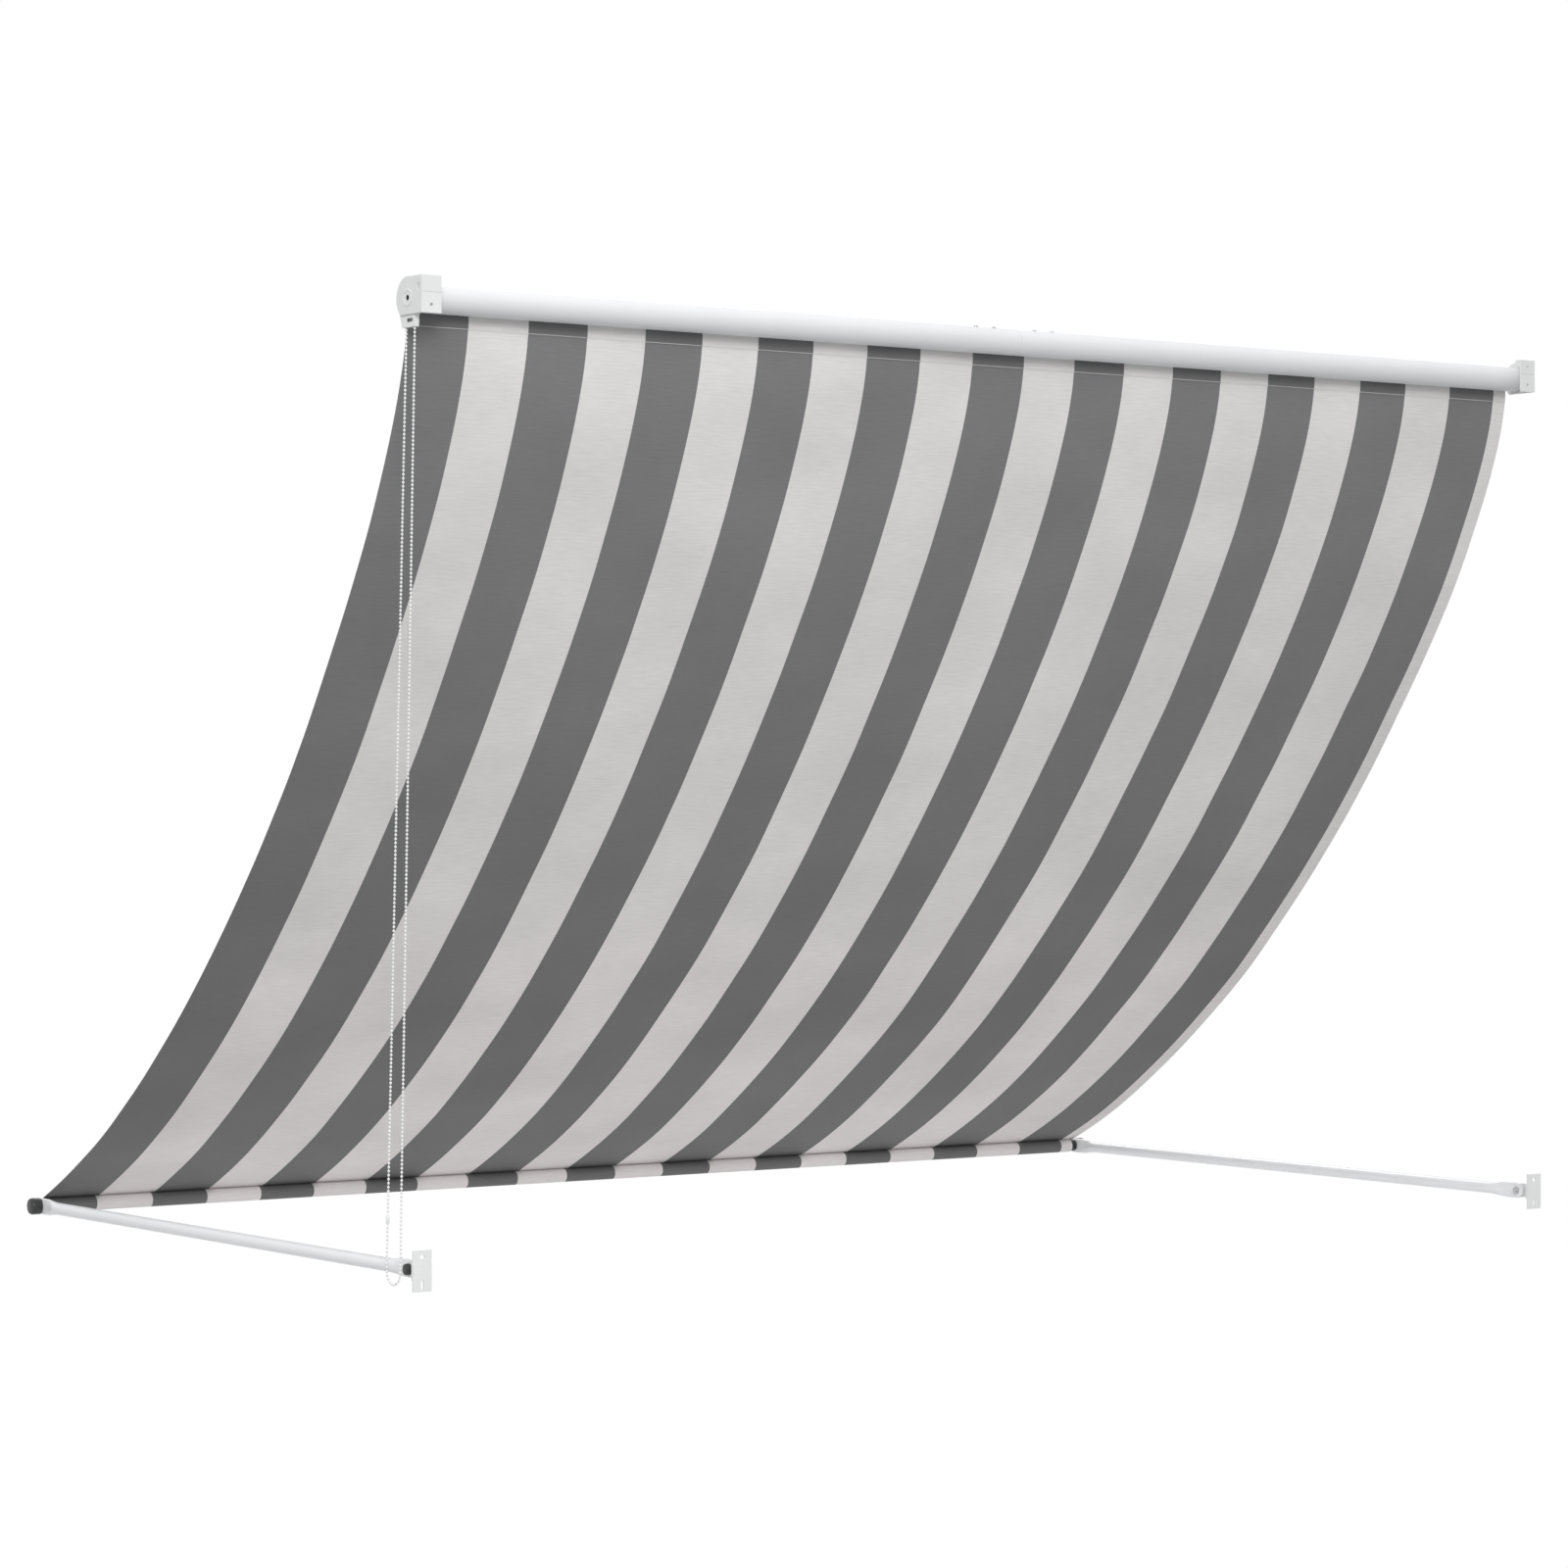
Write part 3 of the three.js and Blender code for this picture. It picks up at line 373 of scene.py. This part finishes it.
def smooth_route(points, steps):
    """A curve through the points whose bends stay even where the points lie unevenly."""
    given = [Vector(p) for p in points]
    padded = [2 * given[0] - given[1], *given, 2 * given[-1] - given[-2]]
    line = []
    for p0, p1, p2, p3 in zip(padded, padded[1:], padded[2:], padded[3:]):
        a, b, c = (math.sqrt((q - p).length) for p, q in ((p0, p1), (p1, p2), (p2, p3)))
        leave = ((p1 - p0) / a - (p2 - p0) / (a + b) + (p2 - p1) / b) * b
        arrive = ((p2 - p1) / b - (p3 - p1) / (b + c) + (p3 - p2) / c) * b
        for i in range(steps):
            t = i / steps
            line.append(
                p1 * (2 * t**3 - 3 * t**2 + 1)
                + leave * (t**3 - 2 * t**2 + t)
                + p2 * (3 * t**2 - 2 * t**3)
                + arrive * (t**3 - t**2)
            )
    return np.array([*line, given[-1]], float)


def even_points(line, spacing):
    """Points an equal distance apart along a line, as near to the spacing as fits."""
    along = lengths_along(line)
    count = round(along[-1] / spacing)
    places = np.linspace(0, along[-1], count + 1)
    return np.stack([np.interp(places, along, line[:, k]) for k in range(3)], 1), along[-1]


def swept(points, profile, sides):
    """Rings round each point: profile lists (distance along the line, radius) for one link."""
    vertices, faces = [], []
    tangents = np.gradient(points, axis=0)
    tangents /= np.linalg.norm(tangents, axis=1)[:, None]
    for point, tangent in zip(points, tangents):
        side = np.cross(tangent, (1.0, 0.0, 0.0))
        side /= np.linalg.norm(side)
        up = np.cross(side, tangent)
        first = len(vertices)
        for along, radius in profile:
            for k in range(sides):
                angle = 2 * math.pi * k / sides
                ring = side * math.cos(angle) + up * math.sin(angle)
                vertices.append(point + tangent * along + ring * radius)
        for row in range(len(profile) - 1):
            for k in range(sides):
                a = first + row * sides + k
                b = first + row * sides + (k + 1) % sides
                faces.append((a, a + sides, b + sides, b))
        faces.append(tuple(first + k for k in range(sides)))
        faces.append(tuple(first + (len(profile) - 1) * sides + k for k in reversed(range(sides))))
    return vertices, faces


def bead_profile():
    """A ball with small flats, where the thread enters it."""
    steps = 8
    radius = bead_diameter / 2
    angles = [math.pi * (0.08 + 0.84 * i / steps) for i in range(steps + 1)]
    return [(-radius * math.cos(a), radius * math.sin(a)) for a in angles]


chain_line = smooth_route(chain_route, route_steps)
bead_places, chain_length = even_points(chain_line, bead_pitch)
beads, bead_faces = swept(bead_places, bead_profile(), bead_sides)
thread_places = (bead_places[1:] + bead_places[:-1]) / 2
thread_profile = [(-thread_reach, thread_diameter / 2), (thread_reach, thread_diameter / 2)]
threads, thread_faces = swept(thread_places, thread_profile, thread_sides)
thread_faces = [tuple(len(beads) + index for index in face) for face in thread_faces]
chain = mesh_object(
    "chain_beads",
    beads + threads,
    bead_faces + thread_faces,
    finishes["white_plastic"],
    sharp_degrees=50,
)
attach(chain, "wall_side")
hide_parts("bead_chain")


# Cloth: one woven sheet from the roller's groove to the seam of the sleeve on the bar. The
# edge inside the groove is a strip of its own, because it turns with the roller

stripe_count = 21
edge_strip = 0.0324
cloth_thickness = 0.0007
cloth_gap = 0.0008  # from the middle of the cloth to the tube and the bar
sleeve_inset = 0.012
groove_angle = math.radians(40)
tucked_depth = 0.001  # the edge reaches this far into the groove, to the rod
tucked_proud = 0.0003
leave_angle = math.radians(8)
bar_slope = math.radians(24)
roller_pull = 0.217
bar_pull = 0.867
hem_length = 0.040  # doubled cloth below the roller, sewn down near its lower edge
hem_proud = 0.0007
hem_step = 0.0004  # the doubled cloth ends within this length
stitch_inset = 0.0015  # from the lower edge of the hem
stitch_pitch = 0.0042
stitch_length = 0.0037
stitch_thickness = 0.0013
stitch_flatness = 0.6
stitch_margin = 0.004  # from the cloth's edge to the first stitch
seam_gap = 0.0001  # between the sleeve's end and the sheet
sleeve_stripe_shift = 0.010  # the sleeve's stripes lie this far towards the chain end
wave_height = 0.0034
wave_fade_top = 0.3
wave_fade_bottom = 0.25
rib_pitch = 0.0016
yarn_pitch = 0.0011
roller_rows = 9
hem_rows = 12
fall_rows = 118
sleeve_rows = 30
steps_per_stripe = 6
curve_points = 400

stripe_width = (cloth_high.x - cloth_low.x - edge_strip) / stripe_count


def polar(centre, radius, angle):
    """(y, z) of a point at an angle above the street side of a centre."""
    return np.array([centre.y - radius * math.cos(angle), centre.z + radius * math.sin(angle)])


def bezier(a, b, c, d, count):
    t = np.linspace(0, 1, count)[:, None]
    return a * (1 - t) ** 3 + b * 3 * t * (1 - t) ** 2 + c * 3 * t**2 * (1 - t) + d * t**3


def sheet_line():
    """(y, z) points down the middle of the sheet, and how many of them lie on the roller."""
    wrap = tube_radius + cloth_gap
    turns = np.linspace(groove_angle, -leave_angle, roller_rows)
    over = np.array([polar(roller_axis, wrap, a) for a in turns])
    slope = np.array([math.cos(bar_slope), math.sin(bar_slope)])
    sleeve = bar_radius + cloth_gap
    end = polar(bar_centre, 0, 0) + np.array([-slope[1], slope[0]]) * sleeve
    leave = np.array([math.sin(leave_angle), -math.cos(leave_angle)])
    below_roller = over[-1] + leave * roller_pull
    before_bar = end + slope * bar_pull
    fall = bezier(over[-1], below_roller, before_bar, end, curve_points)
    along = lengths_along(fall)
    near_hem = np.concatenate([np.linspace(0, hem_length, hem_rows), [hem_length + hem_step]])
    rest = np.linspace(hem_length + hem_step, along[-1], fall_rows)[1:]
    places = np.concatenate([near_hem, rest])
    even = np.stack([np.interp(places, along, fall[:, k]) for k in range(2)], 1)
    return np.concatenate([over, even[1:]]), len(over)


def sleeve_line():
    """(y, z) points round the bar, from the end of the sheet back to its underside."""
    radius = bar_radius + cloth_gap
    inner = radius - cloth_thickness / 2
    outer = radius + cloth_thickness / 2
    sweep = 2 * math.pi - math.acos((inner - seam_gap) / outer)
    first = math.pi / 2 - bar_slope
    angles = np.linspace(first, first - sweep, sleeve_rows)
    return np.array([polar(bar_centre, radius, a) for a in angles])


def normals_of(line):
    """Unit normals towards the wall side of a (y, z) line."""
    step = np.gradient(line, axis=0)
    step /= np.linalg.norm(step, axis=1)[:, None]
    return np.stack([-step[:, 1], step[:, 0]], 1)


def columns():
    """Places across the width: each stripe's edges with steps between them."""
    edges = [cloth_high.x - i * stripe_width for i in range(stripe_count + 1)]
    places = {cloth_high.x, cloth_low.x, cloth_high.x - sleeve_inset, cloth_low.x + sleeve_inset}
    for left, right in zip(edges, edges[1:]):
        shares = (k / steps_per_stripe for k in range(steps_per_stripe + 1))
        places.update(across(left, right, share) for share in shares)
    ordered = sorted(places, reverse=True)
    kept = [ordered[0]]
    for x in ordered[1:]:
        if kept[-1] - x > weld_distance:
            kept.append(x)
    return kept


def wave(x, along, length):
    """Soft unevenness of hanging cloth, which fades out towards the roller and the bar."""
    broad = noise.noise((x * 1.7, along * 3.4, 2.5))
    fine = noise.noise((x * 5.5, along * 8.0, 9.1)) * 0.35
    fade = min(1.0, along / wave_fade_top) * min(1.0, (length - along) / wave_fade_bottom)
    return wave_height * (broad + fine) * max(0.0, fade)


def make_cloth(material):
    sheet, tangent_row = sheet_line()
    sheet_normals = normals_of(sheet)
    sheet_along = lengths_along(sheet)
    loop = sleeve_line()
    loop_normals = normals_of(loop)
    loop_along = lengths_along(loop) + sheet_along[-1]
    hem_end = sheet_along[tangent_row - 1] + hem_length + hem_step / 2
    xs = columns()
    half = cloth_thickness / 2
    vertices, uvs, faces = [], [], []

    def add_vertex(x, place, along, stripe_shift):
        vertices.append((x, place[0], place[1]))
        uvs.append((x - stripe_shift, along))
        return len(vertices) - 1

    def grid(line, normals, along, places, hanging, stripe_shift=0.0):
        """Vertex numbers by side (wall, street), row and column.

        The hanging sheet has the waves and the hem, the sleeve neither.
        """
        sides = []
        for sign in (1, -1):
            rows = []
            for point, normal, s in zip(line, normals, along):
                row = []
                for x in places:
                    lift = wave(x, s - sheet_along[tangent_row - 1], along[-1]) if hanging else 0
                    doubled = sign > 0 and hanging and len(rows) >= tangent_row and s < hem_end
                    offset = sign * half + lift + (hem_proud if doubled else 0)
                    row.append(add_vertex(x, point + normal * offset, s, stripe_shift))
                rows.append(row)
            sides.append(rows)
        return sides

    def skin(sides):
        wall, street = sides
        for r in range(len(wall) - 1):
            for c in range(len(wall[0]) - 1):
                a, b = wall[r][c], wall[r][c + 1]
                d, e = wall[r + 1][c], wall[r + 1][c + 1]
                faces.append((a, d, e, b))
                a, b = street[r][c], street[r][c + 1]
                d, e = street[r + 1][c], street[r + 1][c + 1]
                faces.append((a, b, e, d))

    def side_edges(sides):
        wall, street = sides
        for r in range(len(wall) - 1):
            faces.append((wall[r][0], street[r][0], street[r + 1][0], wall[r + 1][0]))
            faces.append((wall[r][-1], wall[r + 1][-1], street[r + 1][-1], street[r][-1]))

    def row_edge(sides, r, wanted, flip):
        wall, street = sides
        for c in wanted:
            face = (wall[r][c], wall[r][c + 1], street[r][c + 1], street[r][c])
            faces.append(face if flip else tuple(reversed(face)))

    sheet_sides = grid(sheet, sheet_normals, sheet_along, xs, hanging=True)
    skin(sheet_sides)
    side_edges(sheet_sides)
    row_edge(sheet_sides, 0, range(len(xs) - 1), True)
    inside = [
        c for c, x in enumerate(xs)
        if cloth_low.x + sleeve_inset - 1e-6 <= x <= cloth_high.x - sleeve_inset + 1e-6
    ]
    outside = [c for c in range(len(xs) - 1) if c not in inside[:-1]]
    row_edge(sheet_sides, len(sheet) - 1, outside, False)
    loop_xs = [xs[c] for c in inside]
    loop_sides = grid(
        loop[1:],
        loop_normals[1:],
        loop_along[1:],
        loop_xs,
        hanging=False,
        stripe_shift=sleeve_stripe_shift,
    )
    for side, sheet_side in zip(loop_sides, sheet_sides):
        side.insert(0, [sheet_side[-1][c] for c in inside])
    skin(loop_sides)
    side_edges(loop_sides)
    row_edge(loop_sides, len(loop) - 1, range(len(loop_xs) - 1), False)

    piece = mesh_object("striped_canopy", vertices, faces, material)
    layer = piece.data.uv_layers.new(name="cloth_metres")
    corner = np.zeros(len(piece.data.loops), np.int32)
    piece.data.loops.foreach_get("vertex_index", corner)
    layer.data.foreach_set("uv", np.array(uvs, np.float32)[corner].ravel())
    return piece, float(loop_along[-1])


def cloth_material():
    """Woven polyester: stripes, fine ribs across the width, and slightly uneven yarn.

    The sheet lets some light through from the street side, and its doubled top lets less through. There the dark
    stripes are painted darker, as painted shade, and the light stripes a touch lighter, as painted light.
    """
    light = (0.8, 0.782, 0.772)
    # Painted shade: the stripes turn darker down the sheet, where its underside faces down and gets less light.
    light_painted_shade = (0.73, 0.69, 0.688)
    dark = (0.19, 0.19, 0.193)
    dark_painted_shade = (0.128, 0.127, 0.128)
    material, shader = new_material("striped_weave", light, 0.62)
    shader.inputs["Specular IOR Level"].default_value = 0.45
    uv = add_node(material, "ShaderNodeUVMap", uv_map="cloth_metres").outputs["UV"]
    parts = add_node(material, "ShaderNodeSeparateXYZ")
    link(material, uv, parts.inputs["Vector"])
    x, s = parts.outputs["X"], parts.outputs["Y"]
    from_edge = math_node(material, "SUBTRACT", cloth_high.x, x)
    count = math_node(material, "DIVIDE", from_edge, stripe_width)
    phase = math_node(material, "FRACT", math_node(material, "MULTIPLY", count, 0.5))
    is_light = math_node(material, "GREATER_THAN", phase, 0.5)
    # Where the painted shade down the sheet starts, and where it is full.
    lower = add_node(material, "ShaderNodeMapRange", in_From_Min=0.35, in_From_Max=1.5)
    link(material, s, lower.inputs["Value"])
    lights = mix_colors(material, lower.outputs["Result"], light, light_painted_shade)
    darks_shaded_down = mix_colors(material, lower.outputs["Result"], dark, dark_painted_shade)
    hem = math_node(material, "LESS_THAN", s, cloth_top_length + hem_length)
    # Painted shade and light in the doubled top: dark stripes painted darker, light stripes a touch lighter.
    hem_darks_painted_shade = mix_colors(material, hem, darks_shaded_down, shaded(dark, 0.84))
    hem_lights_painted_light = mix_colors(material, hem, lights, shaded(light, 1.02))
    stripes = mix_colors(material, is_light, hem_darks_painted_shade, hem_lights_painted_light)
    streaks = stretched_noise(material, uv, (28, 330, 1), 1.0, detail=5.0)
    blotches = stretched_noise(material, uv, (1, 1.6, 1), 3.0, detail=3.0)
    streak_tone = ranged(material, streaks, 0.95, 1.04)
    blotch_tone = ranged(material, blotches, 0.92, 1.06)
    tone = math_node(material, "MULTIPLY", streak_tone, blotch_tone)
    scaled = add_node(material, "ShaderNodeVectorMath", operation="SCALE")
    link(material, stripes, scaled.inputs[0])
    link(material, tone, scaled.inputs["Scale"])
    link(material, scaled.outputs[0], shader.inputs["Base Color"])
    rib_turns = math_node(material, "MULTIPLY", s, 2 * math.pi / rib_pitch)
    yarn_turns = math_node(material, "MULTIPLY", x, 2 * math.pi / yarn_pitch)
    rib = math_node(material, "SINE", rib_turns)
    yarn = math_node(material, "SINE", yarn_turns)
    weave = math_node(material, "MULTIPLY_ADD", yarn, 0.35, rib)
    height = math_node(material, "MULTIPLY_ADD", streaks, 3.0, weave)
    bumped(material, shader, height, 0.00012, 0.6)
    return material


def make_stitches():
    """A row of lockstitches through the hem, on both faces of the cloth."""
    sheet, tangent_row = sheet_line()
    along = lengths_along(sheet)
    normals = normals_of(sheet)
    below_roller = hem_length - stitch_inset
    place = along[tangent_row - 1] + below_roller
    centre = np.array([np.interp(place, along, sheet[:, k]) for k in range(2)])
    normal = np.array([np.interp(place, along, normals[:, k]) for k in range(2)])
    tangent = np.array([normal[1], -normal[0]])
    half = stitch_thickness / 2
    vertices, faces = [], []
    count = int((cloth_high.x - cloth_low.x - 2 * stitch_margin) / stitch_pitch)
    first = cloth_high.x - stitch_margin
    for i in range(count):
        x = first - i * stitch_pitch
        for side in (1, -1):
            surface = cloth_thickness / 2 + (hem_proud if side > 0 else 0)
            rings = []
            for step in range(5):
                share = step / 4
                arch = 1.5 * math.sin(math.pi * share) - 0.8
                lift = side * (surface + half * stitch_flatness * arch)
                middle = centre + normal * lift
                ring = []
                for k in range(6):
                    angle = 2 * math.pi * k / 6
                    out = normal * math.cos(angle) * half * stitch_flatness
                    around = out + tangent * math.sin(angle) * half
                    point = middle + around + normal * wave(x, below_roller, along[-1])
                    ring.append(len(vertices))
                    vertices.append((x - stitch_length * share, point[0], point[1]))
                rings.append(ring)
            for a, b in zip(rings, rings[1:]):
                for k in range(6):
                    m = (k + 1) % 6
                    faces.append((a[k], a[m], b[m], b[k]))
            faces.append(tuple(reversed(rings[0])))
            faces.append(tuple(rings[-1]))
    thread = coating("sewing_thread", (0.66, 0.655, 0.65), 0.6, 2500, 0.00005, spread=0.12)
    return mesh_object("hem_stitches", vertices, faces, thread, sharp_degrees=60)


def make_tucked_edge(material):
    """The cloth's edge, from the rod in the groove to the tube's surface."""
    side = Vector((0, math.sin(groove_angle), math.cos(groove_angle))) * (cloth_thickness / 2)
    vertices, faces = [], []
    places = columns()
    for x in places:
        for radius in (tube_radius - tucked_depth, tube_radius + tucked_proud):
            y, z = polar(roller_axis, radius, groove_angle)
            vertices.append(Vector((x, y, z)) + side)
            vertices.append(Vector((x, y, z)) - side)
    for i in range(len(places) - 1):
        a, b = 4 * i, 4 * i + 4
        for p, q in ((0, 1), (1, 3), (3, 2), (2, 0)):
            faces.append((a + p, a + q, b + q, b + p))
    faces.append((0, 2, 3, 1))
    last = 4 * (len(places) - 1)
    faces.append((last + 1, last + 3, last + 2, last))
    piece = mesh_object("canopy_tucked_edge", vertices, faces, material)
    layer = piece.data.uv_layers.new(name="cloth_metres")
    for corner, loop in zip(layer.data, piece.data.loops):
        corner.uv = (vertices[loop.vertex_index].x, 0.0)
    return piece


top_sheet, top_row = sheet_line()
cloth_top_length = float(lengths_along(top_sheet)[top_row - 1])
weave = cloth_material()
cloth, cloth_length = make_cloth(weave)
stitches = make_stitches()
tucked_edge = make_tucked_edge(weave)
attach(stitches, "wall_side")
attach(tucked_edge, "roller")
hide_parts("canopy_cloth")
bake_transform(cloth)


# Room: a pale floor that fades out, white behind it, and soft studio light


def make_floor():
    radius = 3.6
    fade_from = radius * 0.55
    level = -3.2
    sides = 96
    centre = (cad_box[0] + cad_box[1]) / 2
    vertices = []
    for k in range(sides):
        angle = 2 * math.pi * k / sides
        x = centre.x + radius * math.cos(angle)
        y = centre.y + radius * math.sin(angle)
        vertices.append((x, y, level))
    material, shader = new_material("pale_floor", (0.82, 0.82, 0.82), 0.7)
    place = add_node(material, "ShaderNodeTexCoord").outputs["Object"]
    offset = add_node(material, "ShaderNodeVectorMath", operation="DISTANCE")
    link(material, place, offset.inputs[0])
    offset.inputs[1].default_value = (centre.x, centre.y, level)
    fade = add_node(material, "ShaderNodeMapRange", in_From_Min=fade_from, in_From_Max=radius)
    link(material, offset.outputs["Value"], fade.inputs["Value"])
    clear = add_node(material, "ShaderNodeBsdfTransparent")
    mix = add_node(material, "ShaderNodeMixShader")
    link(material, fade.outputs["Result"], mix.inputs["Fac"])
    link(material, shader.outputs["BSDF"], mix.inputs[1])
    link(material, clear.outputs["BSDF"], mix.inputs[2])
    output = material.node_tree.nodes["Material Output"]
    link(material, mix.outputs["Shader"], output.inputs["Surface"])
    floor = mesh_object("studio_floor", vertices, [tuple(range(sides))], material)


def make_world(ambient_low, ambient_high):
    """Soft light, dim from below and bright from above, and white where the camera sees it."""
    world = bpy.data.worlds.new("studio")
    world.use_nodes = True
    tree = world.node_tree
    surround = tree.nodes["Background"]
    surround.inputs["Color"].default_value = (0.985, 0.99, 1, 1)
    place = tree.nodes.new("ShaderNodeTexCoord")
    parts = tree.nodes.new("ShaderNodeSeparateXYZ")
    height = tree.nodes.new("ShaderNodeMapRange")
    height.inputs["From Min"].default_value = -0.8
    height.inputs["From Max"].default_value = 0.4
    height.inputs["To Min"].default_value = ambient_low
    height.inputs["To Max"].default_value = ambient_high
    tree.links.new(place.outputs["Generated"], parts.inputs[0])
    tree.links.new(parts.outputs["Z"], height.inputs["Value"])
    tree.links.new(height.outputs["Result"], surround.inputs["Strength"])
    white = tree.nodes.new("ShaderNodeBackground")
    white.inputs["Color"].default_value = (1, 1, 1, 1)
    white.inputs["Strength"].default_value = 1
    path = tree.nodes.new("ShaderNodeLightPath")
    shown = tree.nodes.new("ShaderNodeMath")
    shown.operation = "MAXIMUM"
    either = tree.nodes.new("ShaderNodeMath")
    either.operation = "MAXIMUM"
    mix = tree.nodes.new("ShaderNodeMixShader")
    tree.links.new(path.outputs["Is Camera Ray"], either.inputs[0])
    tree.links.new(path.outputs["Is Glossy Ray"], either.inputs[1])
    tree.links.new(either.outputs[0], shown.inputs[0])
    tree.links.new(path.outputs["Is Transmission Ray"], shown.inputs[1])
    tree.links.new(shown.outputs[0], mix.inputs["Fac"])
    tree.links.new(surround.outputs[0], mix.inputs[1])
    tree.links.new(white.outputs[0], mix.inputs[2])
    tree.links.new(mix.outputs[0], tree.nodes["World Output"].inputs["Surface"])
    bpy.context.scene.world = world


def make_light(name, place, target, size, power):
    data = bpy.data.lights.new(name, "AREA")
    data.shape = "DISK"
    data.size = size
    data.energy = power
    light = bpy.data.objects.new(name, data)
    light.location = place
    light.rotation_mode = "QUATERNION"
    light.rotation_quaternion = (Vector(target) - Vector(place)).to_track_quat("-Z", "Y")
    bpy.context.scene.collection.objects.link(light)


make_floor()
make_world(0.02, 0.95)
middle = (-1.2, -0.5, -0.6)
make_light("key_from_wall_side", (3.0, 5.5, 2.6), middle, 3.0, 240)
make_light("street_fill", (-3.5, -6.0, 2.5), middle, 3.0, 120)
